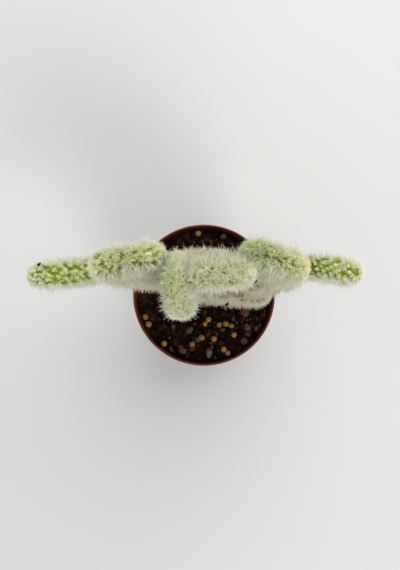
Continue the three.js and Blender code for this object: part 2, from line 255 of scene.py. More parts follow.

# Painted shade: spots of darker green hairs. After the angle come the radius and how strong it is.
SPOT_FADE = 1.6  # how sharply a spot ends
PAINTED_SHADE_SPOTS = {
    "front": [
        (-0.65, -100, 0.0090, 0.80),
        (-0.25, -120, 0.0090, 0.80),
        (0.15, -125, 0.0090, 0.75),
        (0.50, -125, 0.0080, 0.60),
    ],
    "right_top": [
        (0.55, 180, 0.0070, 0.50),
        (0.89, 180, 0.0090, 0.40),
        (0.99, -171, 0.0060, 0.30),
    ],
    "left_low": [(0.27, -25, 0.0070, 0.80)],
}

# Dried and scarred spots, likewise
STAINS = {
    "right_top": [(0.46, 17, 0.0037, 0.9)],
    "right_far": [(0.99, 0, 0.0110, 0.16)],
}

# Crumbs caught among the hairs: the pad, the place and angle on it, how far off its skin, the
# size and the tone
CAUGHT = [
    ("left_far", 0.78, 32, 0.0032, (0.0018, 0.0012, 0.0012), 0.0),
    ("base", 0.68, -82.3, 0.0037, (0.0036, 0.0022, 0.0020), 1.0),
]

# Seeds of the random draws. The first two are the first pad's, and the other pads count on.
AREOLE_SEED = 100
HAIR_SEED = 1
CRUMB_SEED = 21
GRIT_SEED = 22
CAUGHT_SEED = 23

# The floor, the light and the camera
STAGE_RADIUS = 6.0
STAGE_DEPTH = 0.01
STAGE_SIDES = 96
SKY_COLOUR = (0.97, 0.985, 1.0, 1)
SKY_STRENGTH = 0.645
LIGHT_AIM = (0, 0, 0.08)
LIGHTS = [  # name, place, width, power and colour
    ("window", (1.10, -1.90, 2.00), 1.4, 38, (1.0, 0.985, 0.96)),
    ("softbox", (0.30, 0.70, 1.00), 1.5, 11.5, (1.0, 0.99, 0.975)),
]
CAMERA_PLACE = (-0.002394, -0.043879, 0.539883)
CAMERA_TILT = 6  # degrees from straight down
LENS = 50
SENSOR = 36


def turned(lean, pitch, twist):
    """The turn of a pad that leans right, pitches to the front and is twisted, in degrees."""
    lean_turn = Matrix.Rotation(math.radians(lean), 3, "Y")
    pitch_turn = Matrix.Rotation(math.radians(pitch), 3, "X")
    twist_turn = Matrix.Rotation(math.radians(-twist), 3, "Z")
    return np.array(lean_turn @ pitch_turn @ twist_turn)


class Pad:
    """A pad in its own frame: base at the origin, tip up Z, right edge at +X, back face at +Y.
    A place along it is s, from -1 at the base to 1 at the tip."""

    def __init__(self, name, size, age, lean, pitch, twist, fluff, spacing, spread,
                 root=None, on=None, at=0, back=0.0, flat=FLAT, fine=1.0, dense=1.0,
                 edge=EDGE_LENGTH, thin_front=THINNED, thin_back=THINNED, white=0.0, bare=0.0):
        self.name = name
        self.width, self.thick, self.length = size
        self.flat = flat
        self.age = age
        self.fluff = fluff
        self.fine = fine
        self.dense = dense
        self.edge = edge
        self.spacing = spacing
        self.spread = math.radians(spread)
        self.thin_front = thin_front
        self.thin_back = thin_back
        self.white = white
        self.bare = bare
        self.turn = turned(lean, pitch, twist)
        self.place = np.array(root) if on is None else pads[on].rim_point(at, back)

    def half_width(self, s):
        widest = (math.sqrt(1 + 8 * EGG * EGG) - 1) / (4 * EGG)
        peak = math.sqrt(1 - widest**2) * (1 + EGG * widest)
        return self.width / 2 * np.sqrt(np.maximum(1 - s * s, 0)) * (1 + EGG * s) / peak

    def half_thick(self, s):
        return self.thick / 2 * np.sqrt(np.maximum(1 - s**self.flat, 0)) * (1 - TAPER * s)

    def point(self, s, b):
        """The point at place s and angle b round the pad, from its right edge over its back."""
        x = self.half_width(s) * np.cos(b)
        y = self.half_thick(s) * np.sign(np.sin(b)) * np.sqrt(1 - np.cos(b) ** EDGE)
        return np.stack([x, y, self.length * (s + 1) / 2 + 0 * x], -1)

    def spot(self, s, degrees):
        """The point of the skin in the middle of a spot."""
        return self.point(np.array(s), np.radians(degrees))

    def side(self, p, grown=0.0):
        """Below 0 inside the pad grown by that much, and above 0 outside it."""
        s = 2 * p[..., 2] / self.length - 1
        z = np.clip(s / (1 + 2 * grown / self.length), -1, 1)
        x = p[..., 0] / np.maximum(self.half_width(z) * (1 + 2 * grown / self.width), 1e-9)
        y = p[..., 1] / np.maximum(self.half_thick(z) * (1 + 2 * grown / self.thick), 1e-9)
        return np.where(np.abs(z) >= 1, 1.0, x**EDGE + y**2 - 1)

    def skin(self, p):
        """The points of the skin straight out from the pad's middle through p."""
        middle = np.array([0, 0, self.length / 2])
        way = p - middle
        way /= np.linalg.norm(way, axis=-1, keepdims=True)
        near = np.zeros(p.shape[:-1])
        far = near + self.length
        for _ in range(HALVINGS):
            reach = (near + far) / 2
            inside = self.side(middle + way * reach[..., None]) < 0
            near = np.where(inside, reach, near)
            far = np.where(inside, far, reach)
        return middle + way * near[..., None]

    def normal(self, p):
        """The outward directions at points of the skin."""
        s = np.clip(2 * p[..., 2] / self.length - 1, -ALMOST_END, ALMOST_END)
        across = p[..., 0] / self.half_width(s)
        through = p[..., 1] / self.half_thick(s)
        widening = -s / (1 - s * s) + EGG / (1 + EGG * s)
        flatness = self.flat / 2 * s ** (self.flat - 1) / (1 - s**self.flat)
        thinning = flatness + TAPER / (1 - TAPER * s)
        along = EDGE * across**EDGE * widening - 2 * through**2 * thinning
        x = EDGE * across ** (EDGE - 1) / self.half_width(s)
        y = 2 * through / self.half_thick(s)
        n = np.stack([x, y, -along * 2 / self.length], -1)
        end = np.abs(2 * p[..., 2] / self.length - 1) > ALMOST_END
        n[end] = np.stack([0 * s, 0 * s, np.sign(s)], -1)[end]
        return n / np.linalg.norm(n, axis=-1, keepdims=True)

    def to_part(self, p):
        return p @ self.turn.T + self.place

    def to_pad(self, p):
        return (p - self.place) @ self.turn

    def rim_point(self, at, back):
        """A point of the outline in the part's frame, set in by SEAT and moved back. It is `at`
        degrees round from the tip, + towards the right edge."""
        s = math.cos(math.radians(at))
        half = math.copysign(float(self.half_width(np.array(s))), at)
        p = np.array([half, 0, self.length * (s + 1) / 2])
        way = np.array([0, 0, self.length / 2]) - p
        p += way / np.linalg.norm(way) * SEAT
        p[1] = back
        return self.to_part(p)

    def lay_areoles(self, draw):
        """Sets the areoles all over the skin. Each new one goes where the skin is barest, until no
        place is further than the spacing from one."""
        way = draw.normal(0, 1, (SKIN_PLACES, 3))
        way /= np.linalg.norm(way, axis=1, keepdims=True)
        half_size = np.array([self.width, self.thick, self.length]) / 2
        places = self.skin(way * half_size + [0, 0, self.length / 2])
        bare = np.linalg.norm(places - places[0], axis=1)
        found = [places[0]]
        while bare.max() > self.spacing:
            found.append(places[bare.argmax()])
            bare = np.minimum(bare, np.linalg.norm(places - found[-1], axis=1))
        stray = draw.normal(0, AREOLE_STRAY * self.spacing, (len(found), 3))
        self.areoles = self.skin(np.array(found) + stray)


pads = {}


def grow_pads():
    for row in PADS:
        pads[row["name"]] = Pad(**row)
    for number, pad in enumerate(pads.values()):
        pad.lay_areoles(np.random.default_rng(AREOLE_SEED + number))


def add_mesh(name, points, faces, material, smooth=True, **values):
    """A mesh object. Each of `values` is a number for each point, which the material reads."""
    mesh = bpy.data.meshes.new(name)
    mesh.from_pydata(np.asarray(points).tolist(), [], [list(map(int, face)) for face in faces])
    mesh.validate()
    for key, numbers in values.items():
        attribute = mesh.attributes.new(key, "FLOAT", "POINT")
        attribute.data.foreach_set("value", np.asarray(numbers, np.float32))
    if smooth:
        mesh.shade_smooth()
    mesh.materials.append(material)
    piece = bpy.data.objects.new(name, mesh)
    bpy.context.scene.collection.objects.link(piece)
    return piece


def belongs(piece, slot, *nodes):
    """The piece stands for those nodes, whose parts it hides. The slot is not used."""
    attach(piece, "root")
    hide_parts(*nodes)


def ring_faces(rings, sides):
    """The faces of a closed skin of points: a first point, rings round the axis, and a last."""
    faces = []
    last = 1 + (rings - 1) * sides
    for side in range(sides):
        after = (side + 1) % sides
        faces.append((0, 1 + after, 1 + side))
        faces.append((last + sides, last + side, last + after))
        for ring in range(rings - 1):
            low = 1 + ring * sides
            high = low + sides
            faces.append((low + side, low + after, high + after, high + side))
    return faces


class Shader:
    """A material's node tree, with a Principled shader at its end."""

    def __init__(self, name, **sockets):
        self.material = bpy.data.materials.new(name)
        self.material.use_nodes = True
        self.tree = self.material.node_tree
        self.shader = self.tree.nodes["Principled BSDF"]
        for socket, value in sockets.items():
            self.shader.inputs[socket.replace("_", " ")].default_value = value

    def node(self, kind, **settings):
        made = self.tree.nodes.new(kind)
        for key, value in settings.items():
            setattr(made, key, value)
        return made

    def link(self, output, target):
        self.tree.links.new(output, target)

    def value(self, name):
        """What the mesh says at each point under that name."""
        return self.node("ShaderNodeAttribute", attribute_name=name).outputs["Fac"]

    def noise(self, size, detail=3.0, roughness=0.55):
        """Soft noise with spots of about that size in metres, from 0 to 1."""
        place = self.node("ShaderNodeTexCoord").outputs["Object"]
        made = self.node("ShaderNodeTexNoise")
        made.inputs["Scale"].default_value = 1 / size
        made.inputs["Detail"].default_value = detail
        made.inputs["Roughness"].default_value = roughness
        self.link(place, made.inputs["Vector"])
        return made.outputs["Fac"]

    def ramp(self, source, low, high, to_low=0.0, to_high=1.0):
        """The source from low to high, as from to_low to to_high and no further."""
        made = self.node("ShaderNodeMapRange", interpolation_type="SMOOTHSTEP")
        self.link(source, made.inputs["Value"])
        made.inputs["From Min"].default_value = low
        made.inputs["From Max"].default_value = high
        made.inputs["To Min"].default_value = to_low
        made.inputs["To Max"].default_value = to_high
        return made.outputs["Result"]

    def mix(self, share, first, second):
        """From the first colour at a share of 0 to the second at 1. Either may be an output."""
        made = self.node("ShaderNodeMix", data_type="RGBA")
        self.link(share, made.inputs["Factor"])
        for socket, colour in ((6, first), (7, second)):
            if isinstance(colour, tuple):
                made.inputs[socket].default_value = (*colour, 1)
            else:
                self.link(colour, made.inputs[socket])
        return made.outputs[2]

    def bump(self, height, depth):
        """Relief of that depth in metres."""
        made = self.node("ShaderNodeBump")
        made.inputs["Strength"].default_value = 1.0
        made.inputs["Distance"].default_value = depth
        self.link(height, made.inputs["Height"])
        self.link(made.outputs["Normal"], self.shader.inputs["Normal"])

    def colour(self, output):
        self.link(output, self.shader.inputs["Base Color"])

    def roughness(self, output):
        self.link(output, self.shader.inputs["Roughness"])


def between(first, second, share):
    return tuple(a + (b - a) * share for a, b in zip(first, second))


def skin_material(pad):
    """Green skin with lighter patches, felt on its areoles, and cork where it is old."""
    shader = Shader(f"cactus_skin_{pad.name}", Roughness=0.7, Specular_IOR_Level=0.05)
    deep = between((0.075, 0.115, 0.001), (0.085, 0.090, 0.020), pad.age)
    light = between((0.165, 0.220, 0.003), (0.170, 0.170, 0.060), pad.age)
    cork = (0.230, 0.150, 0.070)
    felt = between((0.700, 0.720, 0.400), (0.560, 0.500, 0.360), pad.age)
    scar = (0.300, 0.120, 0.035)
    colour = shader.mix(shader.ramp(shader.noise(0.006), 0.3, 0.7), deep, light)
    corky = shader.ramp(shader.noise(0.010, 4), 0.62, 0.70, 0.0, 0.85 * pad.age)
    colour = shader.mix(corky, colour, cork)
    colour = shader.mix(shader.value("felt"), colour, felt)
    shader.colour(shader.mix(shader.value("stain"), colour, scar))
    shader.bump(shader.noise(0.0006, 2), 0.00012)
    return shader.material


def glochid_material(pad):
    """Pale hairs, greener towards their roots, and a little different from tuft to tuft."""
    shader = Shader(f"glochids_{pad.name}", Roughness=0.5, Specular_IOR_Level=0.2,
                    Subsurface_Weight=0.5, Subsurface_Scale=1.0, Subsurface_Radius=HAIR_GLOW)
    root = between((0.560, 0.620, 0.080), (0.560, 0.490, 0.260), pad.age)
    cream = between((0.920, 0.920, 0.600), (0.840, 0.790, 0.620), pad.age)
    cream = between(cream, (0.960, 0.960, 0.840), pad.white)
    white = between((0.795, 0.805, 0.655), (0.770, 0.710, 0.540), pad.age)
    # the darker green of hairs in painted shade
    painted_shade_green = (0.430, 0.560, 0.200)
    # brown of old hairs, and painted shade at a pad's joint
    brown = (0.420, 0.370, 0.190)
    dried = (0.850, 0.520, 0.230)
    tip = shader.mix(shader.value("tuft"), cream, white)
    colour = shader.mix(shader.ramp(shader.value("reach"), 0.0, 0.75), root, tip)
    colour = shader.mix(shader.value("painted_shade_green"), colour, painted_shade_green)
    colour = shader.mix(shader.value("age_and_shade_brown"), colour, brown)
    shader.colour(shader.mix(shader.value("stain"), colour, dried))
    return shader.material


def spots_on(pad, p, spots):
    """How strongly points of a pad lie in the spots on it, from 0 to 1."""
    share = np.zeros(len(p))
    for place, angle, radius, strength in spots.get(pad.name, []):
        near = 1 - np.linalg.norm(p - pad.spot(place, angle), axis=1) / radius
        share = np.maximum(share, strength * np.clip(SPOT_FADE * near, 0, 1))
    return share


def areole_distance(pad, p):
    """How far points of a pad are from the nearest areole."""
    tree = KDTree(len(pad.areoles))
    for i, areole in enumerate(pad.areoles):
        tree.insert(areole, i)
    tree.balance()
    return np.array([tree.find(point)[2] for point in p])


def make_skin(pad):
    """The pad's skin, with a low mound under each areole."""
    rows = round(pad.length / SKIN_CELL)
    columns = 2 * round((pad.width + pad.thick) / SKIN_CELL)
    t = np.arange(1, rows) / rows
    b = np.arange(columns) / columns * 2 * math.pi
    s, b = np.meshgrid(-np.cos(math.pi * t), b, indexing="ij")
    p = np.concatenate([[[0, 0, 0]], pad.point(s, b).reshape(-1, 3), [[0, 0, pad.length]]])
    distance = areole_distance(pad, p)
    swell = np.clip(1 - distance / MOUND_RADIUS, 0, 1)
    swell = swell * swell * (3 - 2 * swell)
    points = pad.to_part(p + pad.normal(p) * (MOUND * (swell - 0.5))[:, None])
    felt = np.clip(FELT_REACH - distance / TUFT_FOOT / FELT_FADE, 0, 1)
    piece = add_mesh(f"skin_{pad.name}", points, ring_faces(rows - 1, columns), skin_material(pad),
                     felt=felt, stain=spots_on(pad, p, STAINS))
    belongs(piece, "cactus_pad", f"pad_{pad.name}")


def clear_of_others(pad, p, room=0.0):
    """Which points of a pad lie outside all the other pads, with that much room."""
    placed = pad.to_part(p)
    free = np.ones(len(p), bool)
    for other in pads.values():
        if other is not pad:
            free &= other.side(other.to_pad(placed), room) > 0
    return free


def tuft_places(pad, draw):
    """The areoles that carry a tuft. They lie free of the soil and of the other pads."""
    free = pad.to_part(pad.areoles)[:, 2] > SOIL_TOP + SOIL_ROOM
    free &= clear_of_others(pad, pad.areoles, PAD_ROOM)
    for place, angle in BARE_SPOTS.get(pad.name, []):
        away = np.linalg.norm(pad.areoles - pad.spot(place, angle), axis=1)
        free &= away > BARE_RADIUS * pad.spacing
    areoles = pad.areoles[free]
    from_tip = 1 - areoles[:, 2] / pad.length
    bare = pad.bare * np.clip(BARE_RISE * from_tip, BARE_LEAST, 1)
    return areoles[draw.uniform(0, 1, len(areoles)) > bare]


def frames_round(n):
    """Two directions square to each other and to each of n. The first is square to Z too, or to X
    where n is nearly upright."""
    helper = np.where(np.abs(n[:, 2:3]) > 0.9, [[1.0, 0, 0]], [[0, 0, 1.0]])
    first = np.cross(helper, n)
    first /= np.linalg.norm(first, axis=1, keepdims=True)
    return first, np.cross(n, first)


def bundle_ways(n, tipward, bundles, spread, draw):
    """The directions of the bundles of tufts that stand along n, and how low each lies, from 0
    along the tuft's middle to about 1."""
    first, second = frames_round(n)
    order = (np.arange(bundles) + 0.5) / bundles
    low = order**TUFT_CROWDING * (1 + draw.normal(0, LOW_STRAY, (len(n), bundles)))
    spin = np.arange(bundles) * GOLDEN_ANGLE + draw.uniform(0, 2 * math.pi, (len(n), 1))
    spin = (spin + draw.normal(0, SPIN_STRAY, spin.shape))[..., None]
    tilt = (spread * np.clip(low, 0, LOWEST))[..., None]
    round_way = first[:, None] * np.cos(spin) + second[:, None] * np.sin(spin)
    lean = tipward * TUFT_LEAN + draw.normal(0, LEAN_STRAY, n.shape)
    way = n[:, None] * np.cos(tilt) + round_way * np.sin(tilt) + lean[:, None]
    return way / np.linalg.norm(way, axis=2, keepdims=True), round_way, low


def facing(n):
    """How far the skin that looks along each of n is part of a face, not of the edge."""
    return np.clip(FACE_RISE * (np.abs(n[:, 1]) - FACE_START), 0, 1)


def hair_ends(pad, areoles, n, draw):
    """The roots and the tips of the hairs, by tuft, bundle and hair."""
    tipward = np.array([0, 0, 1.0]) - n * n[:, 2:3]
    bundles = round(BUNDLE_DENSITY * pad.dense * pad.spacing**2)
    way, round_way, low = bundle_ways(n, tipward, bundles, pad.spread, draw)
    size = pad.fluff * HAIR_LENGTH * (pad.edge + (1 - pad.edge) * facing(n))
    size = (size * (1 + draw.normal(0, TUFT_STRAY, len(n))))[:, None]
    reach = size * (1 - SHORTENED * low**2) * draw.uniform(*BUNDLE_REACH, low.shape)
    shape = (len(n), bundles, HAIRS, 3)
    foot = (round_way * (TUFT_FOOT * low)[..., None])[:, :, None]
    foot = (areoles - n * ROOT_DEPTH)[:, None, None] + foot
    root = foot + draw.normal(0, ROOT_STRAY, shape)
    share = draw.uniform(*HAIR_REACH, shape[:3] + (1,))
    tip = foot + (way * reach[..., None])[:, :, None] * share
    return root, tip + draw.normal(0, BUNDLE_WIDTH, shape)


def hair_mesh(root, tip, fine, draw):
    """Closed hairs of four faces each. A hair narrows from one edge, across its root, to another
    at its tip."""
    along = (tip - root) / np.linalg.norm(tip - root, axis=1, keepdims=True)
    first, second = frames_round(along)
    angle = draw.uniform(0, 2 * math.pi, len(root))[:, None]
    across = first * np.cos(angle) + second * np.sin(angle)
    beside = np.cross(along, across)
    half_root = across * fine * HAIR_ROOT / 2
    half_tip = beside * fine * HAIR_TIP / 2
    corners = [root - half_root, root + half_root, tip - half_tip, tip + half_tip]
    start = np.arange(len(root))[:, None, None] * HAIR_POINTS
    faces = start + np.array([[0, 1, 2], [0, 3, 1], [0, 2, 3], [1, 3, 2]])
    return np.stack(corners, 1).reshape(-1, 3), faces.reshape(-1, 3)


def age_and_shade_browning(pad, p):
    """Brown on a pad's hairs, from age and painted shade at its joint. It is most at its base."""
    fade = (AGE_AND_SHADE_REACH + AGE_AND_SHADE_GROWTH * pad.age) * pad.length
    near_base = np.clip(1 - p[:, 2] / fade, 0, 1)
    return np.clip(AGE_AND_SHADE_LEAST + pad.age, 0, 1) * AGE_AND_SHADE_TINT * near_base


def make_glochids(pad, draw):
    """The tufts of one pad, which stand out on all sides of each areole."""
    areoles = tuft_places(pad, draw)
    n = pad.normal(areoles)
    root, tip = hair_ends(pad, areoles, n, draw)
    bundles = root.shape[1]
    white = pad.white + WHITE_RISE * (np.abs(n[:, 1]) - WHITE_START)
    white = np.clip(white + draw.normal(0, WHITE_STRAY, len(n)), 0, 1)
    root = root.reshape(-1, 3)
    tip = tip.reshape(-1, 3)
    thinned = facing(n) * np.where(n[:, 1] < 0, pad.thin_front, pad.thin_back)
    stands = draw.uniform(0, 1, len(n) * bundles) > np.repeat(thinned, bundles)
    kept = clear_of_others(pad, tip) & np.repeat(stands, HAIRS)
    root = root[kept]
    tip = tip[kept]
    white = np.repeat(white, bundles * HAIRS)[kept]
    points, faces = hair_mesh(root, tip, pad.fine, draw)
    # hairs in the spots of painted shade are darker and greener
    values = dict(tuft=white, stain=spots_on(pad, root, STAINS), painted_shade_green=spots_on(pad, root, PAINTED_SHADE_SPOTS),
                  # the brown at a pad's base is partly age, partly painted shade at its joint
                  age_and_shade_brown=age_and_shade_browning(pad, root))
    values = {key: np.repeat(numbers, HAIR_POINTS) for key, numbers in values.items()}
    reach = np.tile([0.0, 0.0, 1.0, 1.0], len(root))
    piece = add_mesh(f"glochids_{pad.name}", pad.to_part(points), faces, glochid_material(pad),
                     smooth=False, reach=reach, **values)
    belongs(piece, "cactus_pad", f"pad_{pad.name}")


def wall_radius(height):
    """Outside radius of the pot's wall at a height."""
    share = height / (POT_HEIGHT - BAND_HEIGHT)
    return FOOT_RADIUS + (WALL_TOP_RADIUS - FOOT_RADIUS) * share


def lathe(profile, sides):
    """The points and faces of a profile of [radius, height], turned about the Z axis. It starts
    and ends on the axis."""
    angles = np.arange(sides) / sides * 2 * math.pi
    points = [(0, 0, profile[0][1])]
    for radius, height in profile[1:-1]:
        points += [(radius * math.cos(a), radius * math.sin(a), height) for a in angles]
    points.append((0, 0, profile[-1][1]))
    return np.array(points), ring_faces(len(profile) - 2, sides)


def rounded(corners, radius):
    """A profile whose inner corners are rounded to that radius, where there is room."""
    corners = [np.array(corner, float) for corner in corners]
    made = [corners[0]]
    for before, corner, after in zip(corners, corners[1:], corners[2:]):
        to_before = before - corner
        to_after = after - corner
        room = min(np.linalg.norm(to_before), np.linalg.norm(to_after)) * ARC_ROOM
        to_before /= np.linalg.norm(to_before)
        to_after /= np.linalg.norm(to_after)
        half = math.acos(np.clip(to_before @ to_after, -1, 1)) / 2
        if half >= STRAIGHT:
            made.append(corner)
            continue
        reach = min(radius / math.tan(half), room)
        for step in range(ARC_STEPS):
            share = step / (ARC_STEPS - 1)
            start = corner + to_before * reach * (1 - share)
            end = corner + to_after * reach * share
            made.append(start * (1 - share) + end * share)
    made.append(corners[-1])
    return made


def pot_material():
    """Thin brown moulded plastic, a little dusty, with painted shade inside below its rim."""
    shader = Shader("pot_brown_plastic", Roughness=0.4, Specular_IOR_Level=0.25,
                    Subsurface_Weight=0.12, Subsurface_Radius=(0.0030, 0.0010, 0.0004))
    deep = (0.085, 0.016, 0.004)
    light = (0.125, 0.026, 0.006)
    dust = (0.240, 0.150, 0.100)
    # painted shade: near black deep inside the wall
    soil = (0.0050, 0.0020, 0.0010)
    brown = shader.mix(shader.ramp(shader.noise(0.012, 4), 0.3, 0.7), deep, light)
    dusty = shader.ramp(shader.noise(0.004, 6, 0.7), 0.60, 0.85, 0.0, 0.25)
    brown = shader.mix(dusty, brown, dust)
    shader.colour(shader.mix(shader.value("painted_wall_shade"), brown, soil))
    shader.roughness(shader.ramp(shader.noise(0.006, 5), 0.3, 0.7, 0.32, 0.52))
    shader.bump(shader.noise(0.0009, 3), 0.00004)
    return shader.material


def pot_profile():
    """The corners of the pot's section, from the middle of its foot round its wall to the middle
    of its floor."""
    band_foot = POT_HEIGHT - BAND_HEIGHT
    inner_floor = 2 * FLOOR
    slope = RIM_RADIUS - BAND_FOOT_RADIUS
    drop = BAND_HEIGHT - WALL
    shares = [step / BAND_STEPS for step in range(1, BAND_STEPS)]
    return [
        (0, 0),
        (CHANNEL_INNER, 0),
        (CHANNEL_INNER + CHANNEL_SLOPE, FLOOR),
        (CHANNEL_OUTER - CHANNEL_SLOPE, FLOOR),
        (CHANNEL_OUTER, 0),
        (FOOT_RADIUS, 0),
        (WALL_TOP_RADIUS, band_foot),
        (BAND_FOOT_RADIUS, band_foot + LIP),
        (RIM_RADIUS, POT_HEIGHT),
        (RIM_RADIUS - WALL, POT_HEIGHT),
        *[(RIM_RADIUS - WALL - share * slope, POT_HEIGHT - share * drop) for share in shares],
        (BAND_FOOT_RADIUS - WALL, band_foot + WALL),
        (WALL_TOP_RADIUS - WALL, band_foot - LIP),
        (wall_radius(inner_floor) - WALL, inner_floor),
        (CHANNEL_INNER + CHANNEL_SLOPE, inner_floor),
        (CHANNEL_INNER, FLOOR),
        (0, FLOOR),
    ]


def cut_drain_holes(pot):
    low = -FLOOR
    high = 3 * FLOOR
    profile = [(0, low), (DRAIN_RADIUS, low), (DRAIN_RADIUS, high), (0, high)]
    drill_points, drill_faces = lathe(profile, DRAIN_SIDES)
    points = []
    faces = []
    for hole in range(DRAIN_HOLES):
        angle = (hole + 0.5) / DRAIN_HOLES * 2 * math.pi
        place = [DRAIN_RING * math.cos(angle), DRAIN_RING * math.sin(angle), 0]
        faces += [tuple(corner + len(points) for corner in face) for face in drill_faces]
        points += (drill_points + place).tolist()
    drills = add_mesh("drill", points, faces, pot.data.materials[0])
    cut = pot.modifiers.new("drain holes", "BOOLEAN")
    cut.object = drills
    cut.operation = "DIFFERENCE"
    cut.solver = "EXACT"
    bake_modifiers(pot)
    bpy.data.objects.remove(drills)


def bake_modifiers(piece):
    """Makes what the piece's modifiers show its own mesh."""
    shown = piece.evaluated_get(bpy.context.evaluated_depsgraph_get())
    mesh = bpy.data.meshes.new_from_object(shown)
    piece.modifiers.clear()
    piece.data = mesh


def paint_wall_shade(mesh):
    """Marks painted shade on the inside of the pot's wall: darker and darker down from the rim."""
    numbers = []
    for vertex in mesh.vertices:
        x, y, height = vertex.co
        inside = math.hypot(x, y) < wall_radius(height) - INNER_SIDE * WALL
        above_floor = height > 1.5 * FLOOR
        down = (POT_HEIGHT - WALL_SHADE_FROM - height) / WALL_SHADE_OVER
        numbers.append(min(max(down, 0), 1) if inside and above_floor else 0)
    mesh.attributes.new("painted_wall_shade", "FLOAT", "POINT").data.foreach_set("value", numbers)


def make_pot():
    """The pot, with its rim band, its floor, and drain holes in the channel under it."""
    points, faces = lathe(rounded(pot_profile(), LIP), POT_SIDES)
    pot = add_mesh("nursery_pot", points, faces, pot_material())
    cut_drain_holes(pot)
    pot.data.shade_smooth()
    pot.data.set_sharp_from_angle(angle=math.radians(CREASE))
    paint_wall_shade(pot.data)
    belongs(pot, "pot_plastic", "pot")


def soil_material():
    """Nearly black peat with brown crumbs in it."""
    shader = Shader("soil_peat", Roughness=0.9, Specular_IOR_Level=0.05)
    black = (0.0030, 0.0013, 0.0006)
    peat = (0.0170, 0.0080, 0.0035)
    brown = (0.0320, 0.0140, 0.0062)
    tone = shader.ramp(shader.noise(0.0016, 5, 0.7), 0.35, 0.75)
    fine = shader.mix(tone, black, peat)
    patch = shader.ramp(shader.noise(0.0060, 4, 0.6), 0.48, 0.66)
    shader.colour(shader.mix(patch, fine, brown))
    shader.bump(shader.noise(0.0009, 3, 0.6), 0.0003)
    return shader.material


def crumb_material():
    """Peat and bark crumbs: each has a tone of its own, from black to reddish brown."""
    shader = Shader("soil_crumbs", Roughness=0.9, Specular_IOR_Level=0.05)
    black = (0.0035, 0.0016, 0.0008)
    peat = (0.0240, 0.0110, 0.0050)
    bark = (0.0900, 0.0380, 0.0160)
    # painted shade, darkest low on a lump
    painted_low_shade = (0.0060, 0.0028, 0.0014)
    tone = shader.value("tone")
    dark = shader.mix(shader.ramp(tone, 0.0, 0.55), black, peat)
    brown = shader.mix(shader.ramp(tone, 0.55, 1.0), dark, bark)
    shader.colour(shader.mix(shader.ramp(shader.value("clean"), 0.0, 0.9), painted_low_shade, brown))
    shader.bump(shader.noise(0.0007, 2), 0.0001)
    return shader.material


def prill_material():
    """Resin-coated pellets, from grey-tan to amber."""
    shader = Shader("fertiliser_prills", Roughness=0.5, Specular_IOR_Level=0.15,
                    Subsurface_Weight=0.2, Subsurface_Radius=(0.0010, 0.0006, 0.0002))
    tan = (0.170, 0.105, 0.062)
    amber = (0.400, 0.180, 0.016)
    dirt = (0.050, 0.022, 0.010)
    # painted shade, darkest low on a pellet
    painted_low_shade = (0.010, 0.005, 0.002)
    resin = shader.mix(shader.value("yellow"), tan, amber)
    dirty = shader.ramp(shader.noise(0.0022, 3, 0.6), 0.45, 0.75, 0.0, 0.6)
    resin = shader.mix(dirty, resin, dirt)
    shader.colour(shader.mix(shader.ramp(shader.value("clean"), 0.0, 0.8), painted_low_shade, resin))
    return shader.material


def stone_material():
    """Grit from reddish bark brown to a grey-green stone."""
    shader = Shader("soil_grit", Roughness=0.85, Specular_IOR_Level=0.1)
    bark = (0.130, 0.047, 0.020)
    grey = (0.070, 0.060, 0.052)
    green = (0.110, 0.110, 0.070)
    dark = (0.030, 0.017, 0.010)
    # painted shade, darkest low on a stone
    painted_low_shade = (0.008, 0.004, 0.002)
    tone = shader.value("tone")
    colour = shader.mix(shader.ramp(tone, 0.0, 0.5), bark, grey)
    colour = shader.mix(shader.ramp(tone, 0.6, 0.9), colour, green)
    mottle = shader.ramp(shader.noise(0.0016, 3), 0.35, 0.7, 0.0, 0.6)
    colour = shader.mix(mottle, colour, dark)
    shader.colour(shader.mix(shader.ramp(shader.value("clean"), 0.0, 0.8), painted_low_shade, colour))
    shader.bump(shader.noise(0.0008, 3), 0.00015)
    return shader.material


def soil_height(x, y):
    """The height of the soil's top, with the same waves as on its solid."""
    crown = SOIL_CROWN * (1 - (x * x + y * y) / RIM_RADIUS**2)
    waves = (
        np.sin(310 * x + 1.3) * np.cos(270 * y - 0.4)
        + 0.8 * np.sin(830 * x - 550 * y + 0.7)
        + 0.8 * np.cos(620 * x + 910 * y - 1.1)
    )
    return SOIL_TOP + crown + SOIL_WAVE * waves / 2


def make_soil():
    """The soil's top, side and foot. The foot shows in the drain holes."""
    bottom = 2 * FLOOR + SOIL_GAP
    profile = [(0, bottom), (wall_radius(bottom) - WALL - SOIL_GAP, bottom)]
    profile.append((WALL_TOP_RADIUS - WALL - SOIL_GAP, POT_HEIGHT - BAND_HEIGHT - LIP))
    for ring in range(SOIL_RINGS, 0, -1):
        profile.append((SOIL_RADIUS * ring / SOIL_RINGS, SOIL_TOP))
    profile.append((0, SOIL_TOP))
    points, faces = lathe(profile, SOIL_SIDES)
    for p in points:
        if p[2] == SOIL_TOP:
            lift = sum(height * noise.noise(Vector(p) / width) for height, width in SOIL_BUMPS)
            p[2] = soil_height(p[0], p[1]) + lift
    belongs(add_mesh("soil_bed", points, faces, soil_material()), "potting_soil", "soil")


def ball_mesh(detail):
    """The points and faces of a ball of radius 1."""
    ball = bmesh.new()
    bmesh.ops.create_icosphere(ball, subdivisions=detail, radius=1)
    points = np.array([v.co for v in ball.verts])
    faces = np.array([[v.index for v in face.verts] for face in ball.faces])
    ball.free()
    return points, faces


